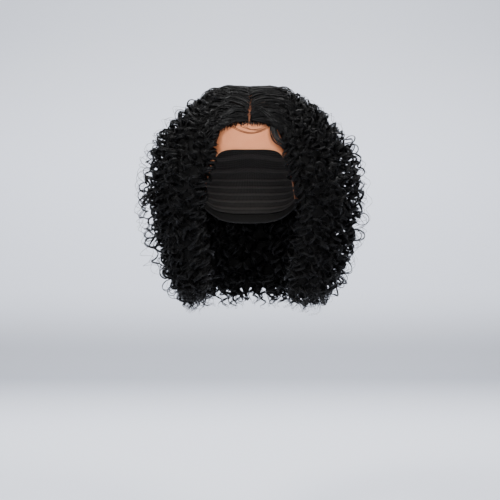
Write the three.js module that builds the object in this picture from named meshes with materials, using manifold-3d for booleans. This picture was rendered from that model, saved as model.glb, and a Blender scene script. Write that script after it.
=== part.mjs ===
// A short curly wig with a middle parting: a sheer lace front, a net cap with an elastic nape band,
// and a thick mass of black curls built as locks fused to a hollow backing.
// Millimetres. +Z is up, the face looks along -Y, and +X is the right of a picture taken from the front.
// The origin is the crown seat, where the top of the head touches the inside of the cap.
import * as THREE from "three";
import { mergeVertices } from "three/addons/utils/BufferGeometryUtils.js";
import Module from "manifold-3d";

// The head that the wig is worn on. Its surface is the inside of the cap and of the hollow below it.
const HEAD_HALF_WIDTH = 77;
const HEAD_FRONT = 88; // from the origin to the forehead
const HEAD_BACK = 96; // from the origin to the back of the head
const HEAD_DEPTH = 300; // from the crown down to the bottom of the neck hollow
const HEAD_SEGMENTS = 20;

// The hair's outer form.
const HAIR_RIGHT = 154; // sideways reach of the curls
const HAIR_LEFT = 147;
const HAIR_FRONT = 93; // forward reach beside the face
const HAIR_BACK = 141;
const HAIR_DROP = 283; // from the crown seat down to the lowest tips
const TOP_LIFT = 13; // height of the hair over the crown
const PARTING_HALF_WIDTH = 1.5;
const FACE_HALF_WIDTH = 63; // half of the face opening at its widest

// The locks.
const LOCKS_PER_SIDE = 9;
const LOCK_RADIUS = 18;
const LOCK_SIDES = 5;
const CURL_AMPLITUDE = 5; // sideways swing of a lock round its own path
const CURL_LENGTH = 59; // length of one turn of that swing
const SECTIONS_PER_CURL = 3;
const TIP_SHARE = 0.5; // radius of a lock's tip over its own radius
const BACKING_INSET = 11; // from the outer form in to the backing
const BACKING_END = 0.93; // where the backing stops along the way from parting to tips
const FACE_SET_BACK = 3; // from the edge of the backing out to the edge of the locks beside the face

// Cloth.
const LACE_THICKNESS = 1;
const CAP_THICKNESS = 1.2;
const BAND_THICKNESS = 1.8;
const BAND_HEIGHT = 14;
const SEAM_GAP = 0.3; // between two sewn pieces
const HAIR_GAP = 0.3; // between the cloth and the hair
const SECTION_GAP = 0.9; // between two sections of hair, at the outer form

// Places on the cap, seen from the side.
const SEAM_TOP_Y = 24; // where the lace meets the cap on top of the head
const EAR_TOP_Z = -104;
const EAR_FRONT_Y = -22;
const EAR_BACK_Y = 38;
const TAB_BOTTOM_Z = -137; // lower end of the lace in front of the ear
const TAB_LEAN = 18; // from the ear's front to the lower end of the lace
const NAPE_Z = -152;

// The bare lace on the forehead, seen from the front.
const LACE_EDGE_Z = -77;
const LACE_EDGE_HALF_WIDTH = 42;
const TAB_HALF_WIDTH = 57;

// Sections of the head from the crown down: shares of HEAD_DEPTH, HEAD_HALF_WIDTH, HEAD_FRONT and HEAD_BACK.
const HEAD_ROWS = [
  { down: 0.004, wide: 0.18, front: 0.19, back: 0.19 },
  { down: 0.02, wide: 0.44, front: 0.47, back: 0.48 },
  { down: 0.06, wide: 0.7, front: 0.7, back: 0.71 },
  { down: 0.117, wide: 0.87, front: 0.84, back: 0.855 },
  { down: 0.183, wide: 0.96, front: 0.93, back: 0.95 },
  { down: 0.267, wide: 1, front: 0.99, back: 1 },
  { down: 0.367, wide: 0.99, front: 1, back: 0.99 },
  { down: 0.467, wide: 0.93, front: 0.98, back: 0.9 },
  { down: 0.55, wide: 0.82, front: 0.93, back: 0.76 },
  { down: 0.633, wide: 0.78, front: 0.76, back: 0.75 },
  { down: 0.733, wide: 0.78, front: 0.62, back: 0.77 },
  { down: 0.867, wide: 0.82, front: 0.6, back: 0.81 },
  { down: 1, wide: 0.88, front: 0.64, back: 0.86 },
];

// Stations of the hair's outer form from the parting to the tips. Each is a ring through an edge beside
// the face, the side and the middle of the back. Shares: edgeX of FACE_HALF_WIDTH, edgeY of HAIR_FRONT,
// sideX of HAIR_RIGHT or HAIR_LEFT, sideY and backY of HAIR_BACK, and the three downs of HAIR_DROP, where
// a down under zero is a share of TOP_LIFT above the crown. lock and curl are shares of LOCK_RADIUS and
// CURL_AMPLITUDE.
const STATIONS = [
  { edgeX: 0, edgeY: 0.89, edgeDown: 0.135, sideX: 0, sideY: -0.14, sideDown: -0.78, backY: 0.24, backDown: -0.5, lock: 0.3, curl: 0 },
  { edgeX: 0.2, edgeY: 0.895, edgeDown: 0.138, sideX: 0.09, sideY: -0.125, sideDown: -0.93, backY: 0.37, backDown: -0.5, lock: 0.4, curl: 0 },
  { edgeX: 0.38, edgeY: 0.89, edgeDown: 0.145, sideX: 0.19, sideY: -0.1, sideDown: -1, backY: 0.5, backDown: -0.1, lock: 0.55, curl: 0.1 },
  { edgeX: 0.54, edgeY: 0.88, edgeDown: 0.168, sideX: 0.33, sideY: -0.07, sideDown: -0.7, backY: 0.65, backDown: 0.036, lock: 0.7, curl: 0.3 },
  { edgeX: 0.6, edgeY: 0.9, edgeDown: 0.222, sideX: 0.55, sideY: -0.03, sideDown: 0.025, backY: 0.8, backDown: 0.115, lock: 0.85, curl: 0.7 },
  { edgeX: 0.69, edgeY: 0.96, edgeDown: 0.3, sideX: 0.72, sideY: 0, sideDown: 0.107, backY: 0.91, backDown: 0.222, lock: 1, curl: 1 },
  { edgeX: 0.83, edgeY: 1, edgeDown: 0.387, sideX: 0.87, sideY: 0.015, sideDown: 0.204, backY: 0.97, backDown: 0.34, lock: 1, curl: 1 },
  { edgeX: 0.97, edgeY: 0.95, edgeDown: 0.487, sideX: 0.97, sideY: 0.02, sideDown: 0.33, backY: 1, backDown: 0.466, lock: 1, curl: 1 },
  { edgeX: 1, edgeY: 0.86, edgeDown: 0.591, sideX: 1, sideY: 0.03, sideDown: 0.5, backY: 0.99, backDown: 0.591, lock: 1, curl: 1 },
  { edgeX: 0.89, edgeY: 0.75, edgeDown: 0.7, sideX: 0.95, sideY: 0.03, sideDown: 0.652, backY: 0.95, backDown: 0.717, lock: 1, curl: 1 },
  { edgeX: 0.79, edgeY: 0.67, edgeDown: 0.806, sideX: 0.87, sideY: 0.03, sideDown: 0.789, backY: 0.89, backDown: 0.832, lock: 1, curl: 1 },
  { edgeX: 0.83, edgeY: 0.6, edgeDown: 0.903, sideX: 0.74, sideY: 0.02, sideDown: 0.914, backY: 0.79, backDown: 0.932, lock: 1, curl: 1 },
  { edgeX: 0.95, edgeY: 0.54, edgeDown: 0.985, sideX: 0.6, sideY: 0.015, sideDown: 1, backY: 0.69, backDown: 1, lock: 0.9, curl: 0.8 },
];
const SIDE_AT = 0.4; // place of the side along a ring that runs from the face edge, 0, to the back, 1

// Where each lock ends, in turn from the face edge to the back, as a share of the way to the tips.
const LOCK_ENDS = [1, 0.96, 0.99, 0.94, 0.98, 0.95, 1, 0.955, 0.985, 0.94, 0.975, 0.95, 0.99, 0.96, 1];

// The hair is made in three sections a side, divided at these shares of a ring.
const SECTIONS = ["front", "side", "back"];
const DIVIDES = [0.36, 0.68];

const wasm = await Module();
wasm.setup();

// Turns a closed geometry into a solid that can be cut and joined, with its faces outwards.
function solidOf(geometry) {
  const bare = geometry.index ? geometry.toNonIndexed() : geometry.clone();
  bare.deleteAttribute("normal");
  bare.deleteAttribute("uv");
  const merged = mergeVertices(bare, 1e-3);
  const vertProperties = merged.attributes.position.array;
  const triVerts = new Uint32Array(merged.index.array);
  const make = () => new wasm.Manifold(new wasm.Mesh({ numProp: 3, vertProperties, triVerts }));
  const made = make();
  if (made.status() !== "NoError") throw new Error("open geometry: " + made.status());
  if (made.volume() > 0) return made;
  triVerts.reverse();
  return make();
}

// A closed skin over rings of points that all have the same count, with a fan at each end. The second half
// of a ring is split along the other diagonal, so that the two faces of a thin sheet stay apart.
function skin(rings) {
  const count = rings[0].length;
  const points = rings.flat();
  const faces = [];
  for (let r = 0; r + 1 < rings.length; r++) {
    for (let i = 0; i < count; i++) {
      const a = r * count + i;
      const b = r * count + ((i + 1) % count);
      if (2 * i < count) faces.push(a, b, b + count, a, b + count, a + count);
      else faces.push(a, b, a + count, b, b + count, a + count);
    }
  }
  const last = (rings.length - 1) * count;
  const middle = (ring) => ring.reduce((sum, p) => sum.add(p), new THREE.Vector3()).divideScalar(count);
  points.push(middle(rings[0]), middle(rings[rings.length - 1]));
  for (let i = 0; i < count; i++) {
    const next = (i + 1) % count;
    faces.push(next, i, points.length - 2);
    faces.push(last + i, last + next, points.length - 1);
  }
  const geometry = new THREE.BufferGeometry().setFromPoints(points);
  geometry.setIndex(faces);
  return geometry;
}

// A prism of a flat outline, across the whole wig. Seen from the side, an outline point is (y, z).
function sideways(outline) {
  const depth = 2 * (HAIR_RIGHT + HAIR_LEFT);
  const prism = new THREE.ExtrudeGeometry(new THREE.Shape(outline), { depth, bevelEnabled: false });
  prism.translate(0, 0, -depth / 2);
  const axes = new THREE.Matrix4().makeBasis(
    new THREE.Vector3(0, 1, 0),
    new THREE.Vector3(0, 0, 1),
    new THREE.Vector3(1, 0, 0),
  );
  return solidOf(prism.applyMatrix4(axes));
}

// A prism of a flat outline seen from the front, where a point is (x, z), from well before the face to the ears.
function frontways(outline) {
  const depth = 3 * HAIR_FRONT;
  const prism = new THREE.ExtrudeGeometry(new THREE.Shape(outline), { depth, bevelEnabled: false });
  const axes = new THREE.Matrix4().makeBasis(
    new THREE.Vector3(1, 0, 0),
    new THREE.Vector3(0, 0, 1),
    new THREE.Vector3(0, -1, 0),
  );
  return solidOf(prism.applyMatrix4(axes));
}

// The head's surface moved out by a distance, as a solid.
function headForm(offset) {
  const ringAt = (row) =>
    Array.from({ length: HEAD_SEGMENTS }, (_, i) => {
      const turn = (2 * Math.PI * i) / HEAD_SEGMENTS;
      const reach = Math.cos(turn) > 0 ? row.front * HEAD_FRONT : row.back * HEAD_BACK;
      return new THREE.Vector3(
        row.wide * HEAD_HALF_WIDTH * Math.sin(turn),
        -reach * Math.cos(turn),
        -row.down * HEAD_DEPTH,
      );
    });
  const rings = HEAD_ROWS.map(ringAt);
  const moved = rings.map((ring, r) =>
    ring.map((point, i) => {
      const up = (rings[r - 1] ?? ring)[i];
      const down = (rings[r + 1] ?? ring)[i];
      const along = ring[(i + 1) % HEAD_SEGMENTS].clone().sub(ring[(i + HEAD_SEGMENTS - 1) % HEAD_SEGMENTS]);
      const away = down.clone().sub(up).cross(along).normalize();
      return point.clone().addScaledVector(away, offset);
    }),
  );
  const crown = moved[0].map(() => new THREE.Vector3(0, 0, offset));
  const top = moved[0].map((point, i) => point.clone().lerp(crown[i], 0.9));
  return solidOf(skin([top, ...moved]));
}

// A value of the station table at any place from the parting, 0, to the tips, 1, on a smooth curve.
function stationValue(column, place) {
  const at = THREE.MathUtils.clamp(place, 0, 1) * (STATIONS.length - 1);
  const low = Math.min(Math.floor(at), STATIONS.length - 2);
  const rows = [low - 1, low, low + 1, low + 2].map((i) => THREE.MathUtils.clamp(i, 0, STATIONS.length - 1));
  const [a, b, c, d] = rows.map((i) => (typeof column === "function" ? column(STATIONS[i]) : STATIONS[i][column]));
  const t = at - low;
  return b + 0.5 * t * (c - a + t * (2 * a - 5 * b + 4 * c - d + t * (3 * (b - c) + d - a)));
}

const heightOf = (down) => (down < 0 ? -down * TOP_LIFT : -down * HAIR_DROP);

// A point of the hair's outer form: around runs from the face edge, 0, to the back, 1.
function outerPoint(side, around, place) {
  const reach = side > 0 ? HAIR_RIGHT : HAIR_LEFT;
  const edge = {
    x: PARTING_HALF_WIDTH + stationValue("edgeX", place) * (FACE_HALF_WIDTH - PARTING_HALF_WIDTH),
    y: -stationValue("edgeY", place) * HAIR_FRONT,
    z: stationValue((row) => heightOf(row.edgeDown), place),
  };
  const flank = {
    x: PARTING_HALF_WIDTH + stationValue("sideX", place) * (reach - PARTING_HALF_WIDTH),
    y: stationValue("sideY", place) * HAIR_BACK,
    z: stationValue((row) => heightOf(row.sideDown), place),
  };
  const back = {
    y: stationValue("backY", place) * HAIR_BACK,
    z: stationValue((row) => heightOf(row.backDown), place),
  };
  if (around <= SIDE_AT) {
    const turn = ((around / SIDE_AT) * Math.PI) / 2;
    return new THREE.Vector3(
      side * (edge.x + (flank.x - edge.x) * Math.sin(turn)),
      flank.y + (edge.y - flank.y) * Math.cos(turn),
      flank.z + (edge.z - flank.z) * Math.cos(turn) ** 2,
    );
  }
  const turn = (((around - SIDE_AT) / (1 - SIDE_AT)) * Math.PI) / 2;
  return new THREE.Vector3(
    side * flank.x * Math.cos(turn),
    flank.y + (back.y - flank.y) * Math.sin(turn),
    flank.z + (back.z - flank.z) * Math.sin(turn) ** 2,
  );
}

// The outward direction of the outer form.
function outerNormal(side, around, place) {
  const step = 0.01;
  const a = outerPoint(side, Math.max(around - step, 0), place);
  const b = outerPoint(side, Math.min(around + step, 1), place);
  const c = outerPoint(side, around, Math.max(place - step, 0));
  const d = outerPoint(side, around, Math.min(place + step, 1));
  return d.sub(c).cross(b.sub(a)).multiplyScalar(side).normalize();
}

// The solid inside the outer form of both sides, moved in by the backing's inset.
function backing() {
  const rows = 12;
  const steps = 9;
  const rings = [];
  for (let r = 0; r <= rows; r++) {
    const place = (r / rows) * BACKING_END;
    const inset = BACKING_INSET * stationValue("lock", place) ** 2;
    const half = (side) =>
      Array.from({ length: steps + 1 }, (_, i) => {
        const around = i / steps;
        const point = outerPoint(side, around, place);
        point.addScaledVector(outerNormal(side, around, place), -inset);
        if (i === steps) point.x = 0;
        return point;
      });
    rings.push([...half(1), ...half(-1).reverse().slice(1)]);
  }
  return solidOf(skin(rings));
}

// The inner edge of a divide follows its outer edge, drawn in to a share of the neck's width and depth.
const NECK = HEAD_ROWS.reduce((thin, row) => (row.wide < thin.wide && row.down > 0.5 ? row : thin), HEAD_ROWS.at(-1));
const NECK_SHARE = 0.65;
const DIVIDE_ROOT = new THREE.Vector3(
  (NECK_SHARE * NECK.wide * HEAD_HALF_WIDTH) / HAIR_RIGHT,
  (NECK_SHARE * NECK.front * HEAD_FRONT) / HAIR_BACK,
  1,
);

// A thin sheet of space between two sections of hair, from inside the head out past the curls.
function divide(side, around) {
  const rows = 14;
  const rings = [];
  for (let r = -1; r <= rows; r++) {
    const place = Math.max(r, 0) / rows;
    const out = outerNormal(side, around, place);
    const far = outerPoint(side, around, place).addScaledVector(out, LOCK_RADIUS);
    const near = outerPoint(side, around, place).multiply(DIVIDE_ROOT);
    near.z -= HEAD_HALF_WIDTH / 2;
    if (r < 0) {
      far.x = -side * PARTING_HALF_WIDTH;
      near.x = far.x;
    }
    if (r === rows) far.z -= LOCK_RADIUS;
    const ahead = outerPoint(side, around, Math.min(place + 0.02, 1)).sub(
      outerPoint(side, around, Math.max(place - 0.02, 0)),
    );
    const across = far.clone().sub(near).cross(ahead).normalize().multiplyScalar(SECTION_GAP / 2);
    rings.push([near.clone().sub(across), far.clone().sub(across), far.clone().add(across), near.clone().add(across)]);
  }
  return solidOf(skin(rings));
}

// One lock of curls: a tube that swings round a path just inside the outer form.
function lock(side, index) {
  const around = (index + 0.5) / LOCKS_PER_SIDE;
  const end = LOCK_ENDS[index % LOCK_ENDS.length];
  const path = [];
  const samples = 120;
  for (let i = 0; i <= samples; i++) {
    const place = (end * i) / samples;
    path.push({ place, point: outerPoint(side, around, place) });
  }
  let length = 0;
  path.forEach((p, i) => {
    length += i ? p.point.distanceTo(path[i - 1].point) : 0;
    p.along = length;
  });
  const rings = [];
  const count = Math.round((length / CURL_LENGTH) * SECTIONS_PER_CURL);
  for (let k = 0; k <= count; k++) {
    const along = (length * k) / count;
    const upper = Math.max(1, path.findIndex((p) => p.along >= along - 1e-6));
    const [p, q] = [path[upper - 1], path[upper]];
    const share = (along - p.along) / (q.along - p.along);
    const place = THREE.MathUtils.lerp(p.place, q.place, share);
    const centre = outerPoint(side, around, place);
    const out = outerNormal(side, around, place);
    const ahead = q.point.clone().sub(p.point).normalize();
    const across = out.clone().cross(ahead).normalize();
    const atEnd = k === count ? TIP_SHARE : 1;
    const radius = LOCK_RADIUS * stationValue("lock", place);
    const swing = CURL_AMPLITUDE * stationValue("curl", place);
    const phase = (2 * Math.PI * along) / CURL_LENGTH + index * 2.4;
    centre.addScaledVector(out, swing * (Math.cos(phase) - 1) - radius);
    centre.addScaledVector(across, swing * Math.sin(phase));
    rings.push(
      Array.from({ length: LOCK_SIDES }, (_, i) => {
        const turn = (2 * Math.PI * (i + 0.5)) / LOCK_SIDES;
        return centre
          .clone()
          .addScaledVector(out, atEnd * radius * Math.cos(turn))
          .addScaledVector(across, atEnd * radius * Math.sin(turn));
      }),
    );
  }
  return solidOf(skin(rings));
}

// The face opening in the hair, seen from the front: its sides follow the edge column of the stations.
function faceOpening() {
  const hairline = 3; // the station at the corner of the hairline
  const steps = 12;
  const edge = (side) =>
    Array.from({ length: steps + 1 }, (_, i) => {
      const place = THREE.MathUtils.lerp(hairline / (STATIONS.length - 1), 1, i / steps);
      const point = outerPoint(side, 0, place);
      return new THREE.Vector2(point.x - side * FACE_SET_BACK, point.z);
    });
  const below = -2 * HAIR_DROP;
  const right = edge(1);
  const left = edge(-1);
  const foot = (points) => new THREE.Vector2(points[steps].x, below);
  return frontways([...left, foot(left), foot(right), ...right.reverse()]);
}

// Side outlines of the cloth pieces. Each starts and ends outside the head.
const OUTSIDE = HEAD_BACK + HEAD_FRONT;

function seam(shift) {
  const curve = new THREE.SplineCurve([
    new THREE.Vector2(SEAM_TOP_Y + shift, OUTSIDE / 4),
    new THREE.Vector2(SEAM_TOP_Y + shift, 0),
    new THREE.Vector2(THREE.MathUtils.lerp(SEAM_TOP_Y, EAR_FRONT_Y, 0.35) + shift, EAR_TOP_Z * 0.48),
    new THREE.Vector2(EAR_FRONT_Y + shift, EAR_TOP_Z),
  ]);
  return curve.getPoints(9);
}

function laceOutline() {
  const tabBack = EAR_FRONT_Y - TAB_LEAN;
  return [
    ...seam(0),
    new THREE.Vector2(tabBack, TAB_BOTTOM_Z),
    new THREE.Vector2(-OUTSIDE, TAB_BOTTOM_Z),
    new THREE.Vector2(-OUTSIDE, OUTSIDE / 4),
  ].reverse();
}

// The cap's lower edge from over the ear to the nape, moved down by a drop.
function lowerEdge(drop) {
  const curve = new THREE.SplineCurve([
    new THREE.Vector2(EAR_BACK_Y * 0.63, EAR_TOP_Z * 1.03),
    new THREE.Vector2(EAR_BACK_Y, THREE.MathUtils.lerp(EAR_TOP_Z, NAPE_Z, 0.45)),
    new THREE.Vector2(THREE.MathUtils.lerp(EAR_BACK_Y, HEAD_BACK, 0.35), NAPE_Z * 0.96),
    new THREE.Vector2(OUTSIDE, NAPE_Z),
  ]);
  return curve.getPoints(9).map((p) => p.setY(p.y - drop));
}

function capOutline() {
  return [
    ...seam(SEAM_GAP),
    ...lowerEdge(0),
    new THREE.Vector2(OUTSIDE, OUTSIDE / 4),
  ];
}

function bandOutline() {
  const upper = lowerEdge(SEAM_GAP).slice(2);
  const lower = lowerEdge(SEAM_GAP + BAND_HEIGHT).slice(2);
  return [...upper.reverse(), ...lower];
}

// The bare face below the lace, seen from the front.
function laceFaceOutline() {
  const curve = new THREE.SplineCurve([
    new THREE.Vector2(0, LACE_EDGE_Z),
    new THREE.Vector2(LACE_EDGE_HALF_WIDTH * 0.75, LACE_EDGE_Z * 1.013),
    new THREE.Vector2(LACE_EDGE_HALF_WIDTH * 1.048, LACE_EDGE_Z * 1.156),
    new THREE.Vector2(
      THREE.MathUtils.lerp(LACE_EDGE_HALF_WIDTH, TAB_HALF_WIDTH, 0.7),
      THREE.MathUtils.lerp(LACE_EDGE_Z, TAB_BOTTOM_Z, 0.58),
    ),
    new THREE.Vector2(TAB_HALF_WIDTH, TAB_BOTTOM_Z),
  ]);
  const right = curve.getPoints(12);
  const left = right.slice(1).map((p) => new THREE.Vector2(-p.x, p.y));
  const below = TAB_BOTTOM_Z - LACE_EDGE_HALF_WIDTH;
  return [
    ...left.reverse(),
    ...right,
    new THREE.Vector2(TAB_HALF_WIDTH, below),
    new THREE.Vector2(-TAB_HALF_WIDTH, below),
  ].reverse();
}

function shell(inner, outer) {
  return headForm(outer).subtract(headForm(inner));
}

const group = new THREE.Group();
const finishes = {
  lace: new THREE.MeshStandardMaterial({ color: "#cda58c", roughness: 0.8, metalness: 0 }),
  net: new THREE.MeshStandardMaterial({ color: "#1c1714", roughness: 0.85, metalness: 0 }),
  elastic: new THREE.MeshStandardMaterial({ color: "#171514", roughness: 0.75, metalness: 0 }),
  hair: new THREE.MeshStandardMaterial({ color: "#100f0f", roughness: 0.45, metalness: 0 }),
};

function addPiece(name, solid, finish) {
  const made = solid.getMesh();
  const geometry = new THREE.BufferGeometry();
  geometry.setAttribute("position", new THREE.BufferAttribute(new Float32Array(made.vertProperties), 3));
  geometry.setIndex(new THREE.BufferAttribute(new Uint32Array(made.triVerts), 1));
  geometry.computeVertexNormals();
  const mesh = new THREE.Mesh(geometry, finishes[finish]);
  mesh.name = name;
  group.add(mesh);
}

const lace = shell(0, LACE_THICKNESS)
  .intersect(sideways(laceOutline()))
  .subtract(frontways(laceFaceOutline()));
const cap = shell(0, CAP_THICKNESS).intersect(sideways(capOutline()));
const band = shell(0, BAND_THICKNESS).intersect(sideways(bandOutline()));
addPiece("lace_front", lace, "lace");
addPiece("cap_net", cap, "net");
addPiece("nape_band", band, "elastic");

const hollow = headForm(BAND_THICKNESS + HAIR_GAP).add(faceOpening());
const backingSolid = backing();
const half = wasm.Manifold.cube([HAIR_LEFT * 2, HAIR_BACK * 4, HAIR_DROP * 4], true);
for (const [side, hand] of [
  [1, "right"],
  [-1, "left"],
]) {
  let hair = backingSolid;
  for (let i = 0; i < LOCKS_PER_SIDE; i++) hair = hair.add(lock(side, i));
  hair = hair.subtract(hollow).subtract(half.translate([-side * (HAIR_LEFT - SECTION_GAP / 2), 0, 0]));
  for (const share of DIVIDES) hair = hair.subtract(divide(side, share));
  const bodies = hair.decompose().sort((a, b) => b.volume() - a.volume());
  const middleY = (body) => body.boundingBox().min[1] + body.boundingBox().max[1];
  const sections = bodies.slice(0, SECTIONS.length).sort((a, b) => middleY(a) - middleY(b));
  sections.forEach((body, i) => addPiece(`hair_${SECTIONS[i]}_${hand}`, body, "hair"));
}

export default group;
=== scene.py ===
import math

import bmesh
import bpy
import numpy as np
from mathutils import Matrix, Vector


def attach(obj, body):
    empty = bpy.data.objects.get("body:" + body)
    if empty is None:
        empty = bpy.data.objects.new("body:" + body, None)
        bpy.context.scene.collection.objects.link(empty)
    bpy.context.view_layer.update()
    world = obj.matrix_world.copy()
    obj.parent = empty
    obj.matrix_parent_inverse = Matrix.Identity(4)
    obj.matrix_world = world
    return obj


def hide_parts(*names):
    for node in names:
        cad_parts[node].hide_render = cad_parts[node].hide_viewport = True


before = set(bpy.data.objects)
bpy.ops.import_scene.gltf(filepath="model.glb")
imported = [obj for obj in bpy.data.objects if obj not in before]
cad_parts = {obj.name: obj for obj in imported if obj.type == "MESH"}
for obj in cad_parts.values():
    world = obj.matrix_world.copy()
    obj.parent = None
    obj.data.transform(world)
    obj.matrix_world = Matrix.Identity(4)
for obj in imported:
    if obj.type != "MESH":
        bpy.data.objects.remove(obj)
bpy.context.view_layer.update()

# Camera

cameraValues = {"distance": 1.6, "x": 0.0006, "z": -0.202, "lens": 87.6}

cameraData = bpy.data.cameras.new("camera")
cameraData.lens = cameraValues["lens"]
cameraData.sensor_width = 36
camera = bpy.data.objects.new("camera", cameraData)
camera.location = (cameraValues["x"], -cameraValues["distance"], cameraValues["z"])
camera.rotation_euler = (math.pi / 2, 0, 0)
bpy.context.scene.collection.objects.link(camera)
bpy.context.scene.camera = camera


# Node graphs


class Wire:
    def __init__(self, tree, socket=None):
        self.tree = tree
        self.socket = socket

    def node(self, kind, output=0, settings=None, **inputs):
        made = self.tree.nodes.new(kind)
        for name, value in (settings or {}).items():
            setattr(made, name, value)
        for name, value in inputs.items():
            key = int(name[2:]) if name.startswith("at") and name[2:].isdigit() else name.replace("_", " ")
            if isinstance(value, Wire):
                self.tree.links.new(value.socket, made.inputs[key])
            else:
                made.inputs[key].default_value = value
        return Wire(self.tree, made.outputs[output])

    def math(self, operation, first, second=0.0, clamp=False):
        settings = {"operation": operation, "use_clamp": clamp}
        return self.node("ShaderNodeMath", 0, settings, at0=first, at1=second)

    def __add__(self, other):
        return self.math("ADD", self, other)

    def __radd__(self, other):
        return self.math("ADD", other, self)

    def __sub__(self, other):
        return self.math("SUBTRACT", self, other)

    def __rsub__(self, other):
        return self.math("SUBTRACT", other, self)

    def __mul__(self, other):
        return self.math("MULTIPLY", self, other)

    def __rmul__(self, other):
        return self.math("MULTIPLY", other, self)

    def between(self, low, high):
        settings = {"interpolation_type": "SMOOTHSTEP"}
        return self.node("ShaderNodeMapRange", 0, settings, Value=self, From_Min=low, From_Max=high)

    def sine(self):
        return self.math("SINE", self)

    def clamped(self):
        return self.math("ADD", self, 0.0, clamp=True)

    def split(self):
        parts = self.node("ShaderNodeSeparateXYZ", 0, None, Vector=self)
        return [Wire(self.tree, out) for out in parts.socket.node.outputs]

    def joined(self, x, y, z):
        return self.node("ShaderNodeCombineXYZ", 0, None, X=x, Y=y, Z=z)

    def mixed(self, first, second):
        return self.node("ShaderNodeMix", 2, {"data_type": "RGBA"}, at0=self, at6=first, at7=second)

    def attribute(self, name):
        return self.node("ShaderNodeAttribute", 1, {"attribute_name": name})

    def place(self):
        return self.node("ShaderNodeTexCoord", 3)

    def noise(self, vector, scale, detail=2.0, roughness=0.5):
        return self.node(
            "ShaderNodeTexNoise", 0, None, Vector=vector, Scale=scale, Detail=detail, Roughness=roughness
        )

    def bump(self, height, strength, distance):
        return self.node("ShaderNodeBump", 0, None, Height=height, Strength=strength, Distance=distance)


def newMaterial(name):
    material = bpy.data.materials.new(name)
    material.use_nodes = True
    material.node_tree.nodes.clear()
    return material, Wire(material.node_tree)


def finishMaterial(wire, **inputs):
    surface = wire.node("ShaderNodeBsdfPrincipled", 0, None, **inputs)
    output = wire.tree.nodes.new("ShaderNodeOutputMaterial")
    wire.tree.links.new(surface.socket, output.inputs["Surface"])


# Head form and the hair's outer form

headSize = {"halfWidth": 0.077, "front": 0.088, "back": 0.096, "depth": 0.3}
# Shares of the depth, half width, front reach and back reach, from the crown down
headColumns = ("down", "wide", "front", "back")
headRows = np.array(
    [
        (0.0, 0.0, 0.0, 0.0),
        (0.004, 0.18, 0.19, 0.19),
        (0.02, 0.44, 0.47, 0.48),
        (0.06, 0.7, 0.7, 0.71),
        (0.117, 0.87, 0.84, 0.855),
        (0.183, 0.96, 0.93, 0.95),
        (0.267, 1, 0.99, 1),
        (0.367, 0.99, 1, 0.99),
        (0.467, 0.93, 0.98, 0.9),
        (0.55, 0.82, 0.93, 0.76),
        (0.633, 0.78, 0.76, 0.75),
        (0.733, 0.78, 0.62, 0.77),
        (0.867, 0.82, 0.6, 0.81),
        (1, 0.88, 0.64, 0.86),
    ]
)

hairSize = {
    "right": 0.154,
    "left": 0.147,
    "front": 0.093,
    "back": 0.141,
    "drop": 0.283,
    "lift": 0.013,
    "face": 0.063,
    "sideAt": 0.4,
}
# Half width and lean of the parting from the forehead back; past the crown the two sides cross over
partingAround = (0.0, 0.04, 0.14, 0.18, 0.22, 0.3)
partingHalf = (0.0014, 0.0013, 0.0010, 0.0005, -0.0001, -0.0008)
partingLean = (-0.001, -0.0008, 0.0004, 0.001, 0.001, 0.0)
# At the temples the strands keep further off the face and the lace shows: how far, where and over what length
templeShift = {1: 0.005, -1: 0.0065}
templePlace = {1: 0.32, -1: 0.33}
templeReach = {1: 0.055, -1: 0.085}
# Shares of the sizes above on the face edge, the side and the back, from the parting down to the hair ends
stationColumns = ("edgeX", "edgeY", "edgeDown", "sideX", "sideY", "sideDown", "backY", "backDown")
stationRows = np.array(
    [
        (0, 0.89, 0.135, 0, -0.14, -0.78, 0.24, -0.5),
        (0.2, 0.895, 0.138, 0.09, -0.125, -0.85, 0.37, -0.5),
        (0.38, 0.89, 0.145, 0.19, -0.1, -0.86, 0.5, -0.1),
        (0.54, 0.88, 0.168, 0.33, -0.07, -0.64, 0.65, 0.036),
        (0.6, 0.9, 0.222, 0.55, -0.03, 0.025, 0.8, 0.115),
        (0.69, 0.96, 0.3, 0.72, 0, 0.107, 0.91, 0.222),
        (0.83, 1, 0.387, 0.87, 0.015, 0.204, 0.97, 0.34),
        (0.97, 0.95, 0.487, 0.97, 0.02, 0.33, 1, 0.466),
        (1, 0.86, 0.591, 1, 0.03, 0.5, 0.99, 0.591),
        (0.89, 0.75, 0.7, 0.95, 0.03, 0.652, 0.95, 0.717),
        (0.79, 0.67, 0.806, 0.87, 0.03, 0.789, 0.89, 0.832),
        (0.83, 0.6, 0.903, 0.74, 0.02, 0.914, 0.79, 0.932),
        (0.95, 0.54, 0.985, 0.6, 0.015, 1, 0.69, 1),
    ]
)


def unit(vectors):
    return vectors / np.maximum(np.linalg.norm(vectors, axis=-1, keepdims=True), 1e-9)


def hermite(at, xs, ys):
    slopes = np.gradient(ys, xs, axis=0)
    low = np.clip(np.searchsorted(xs, at, side="right") - 1, 0, len(xs) - 2)
    span = xs[low + 1] - xs[low]
    t = (at - xs[low]) / span
    a, b = ys[low], ys[low + 1]
    m, n = slopes[low] * span, slopes[low + 1] * span
    return (
        (2 * t**3 - 3 * t**2 + 1) * a
        + (t**3 - 2 * t**2 + t) * m
        + (3 * t**2 - 2 * t**3) * b
        + (t**3 - t**2) * n
    )


def headReach(z):
    share = np.sqrt(np.clip(-z / headSize["depth"], 0, 1))
    down, *reaches = (headRows[:, headColumns.index(name)] for name in headColumns)
    wide, front, back = (hermite(share, np.sqrt(down), reach) for reach in reaches)
    least = 1e-4
    return (
        np.maximum(wide, least) * headSize["halfWidth"],
        np.maximum(front, least) * headSize["front"],
        np.maximum(back, least) * headSize["back"],
    )


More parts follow.
